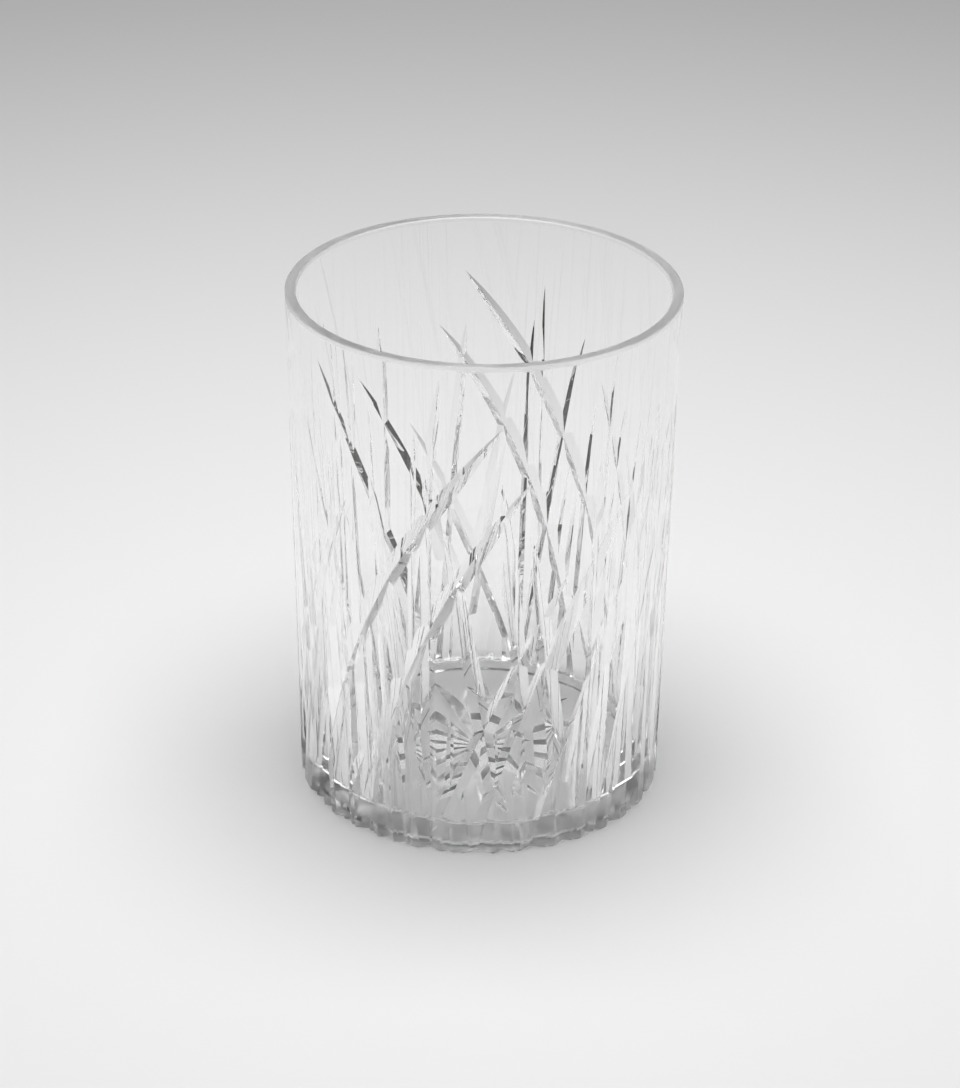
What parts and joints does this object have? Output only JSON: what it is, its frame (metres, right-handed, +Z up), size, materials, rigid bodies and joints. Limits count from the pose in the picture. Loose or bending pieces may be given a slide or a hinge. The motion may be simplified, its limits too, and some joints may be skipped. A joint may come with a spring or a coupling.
{
  "type": "bathroom tumbler",
  "caption": "Clear straight-sided tumbler with a plain rim, long V-cut blades rising up its outer wall and a star cut under its thick base.",
  "frame": {"origin": "centre of the base's underside, on the surface the tumbler stands on", "axes": "+Z up along the tumbler's axis, -Y towards the side shown in the reference view"},
  "size_m": [0.08, 0.08, 0.11],
  "materials": {
    "clear_plastic": "polished"
  },
  "bodies": {
    "root": {"tumbler": "clear_plastic"}
  },
  "joints": []
}
